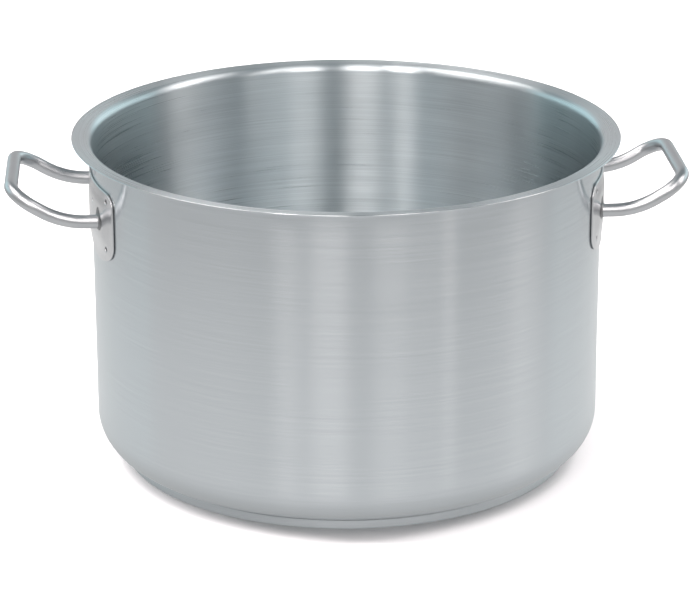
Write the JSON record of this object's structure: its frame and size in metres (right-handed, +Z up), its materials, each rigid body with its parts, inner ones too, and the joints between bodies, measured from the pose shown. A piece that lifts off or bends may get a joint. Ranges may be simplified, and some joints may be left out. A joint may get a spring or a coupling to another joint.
{
  "type": "stock pot",
  "caption": "Wide round stainless steel stock pot with a flared pouring rim, a capsule base and two tube loop handles on curved plates.",
  "frame": {"origin": "middle of the underside, on the surface that the pot stands on", "axes": "+Z up along the pot's axis, +X through the right handle, the handles lie along X, the front is -Y"},
  "size_m": [0.6014, 0.4852, 0.295],
  "materials": {
    "vessel_satin": "satin stainless sheet, brushed round the pot",
    "base_cap": "satin stainless capsule",
    "base_core": "plain aluminium disc",
    "handle_plate": "polished stainless sheet",
    "handle_tube": "polished stainless tube",
    "weld": "brushed weld bead",
    "spot_weld": "pressed spot weld mark"
  },
  "bodies": {
    "root": {"vessel_body": "vessel_satin", "base_cap": "base_cap", "base_core_disc": "base_core", "handle_plate_left": "handle_plate", "handle_plate_right": "handle_plate", "handle_tube_left": "handle_tube", "handle_tube_right": "handle_tube", "handle_weld_left_front": "weld", "handle_weld_left_rear": "weld", "handle_weld_right_front": "weld", "handle_weld_right_rear": "weld", "spot_weld_left_1": "spot_weld", "spot_weld_left_2": "spot_weld", "spot_weld_left_3": "spot_weld", "spot_weld_left_4": "spot_weld", "spot_weld_left_5": "spot_weld", "spot_weld_left_6": "spot_weld", "spot_weld_right_1": "spot_weld", "spot_weld_right_2": "spot_weld", "spot_weld_right_3": "spot_weld", "spot_weld_right_4": "spot_weld", "spot_weld_right_5": "spot_weld", "spot_weld_right_6": "spot_weld"}
  },
  "joints": []
}
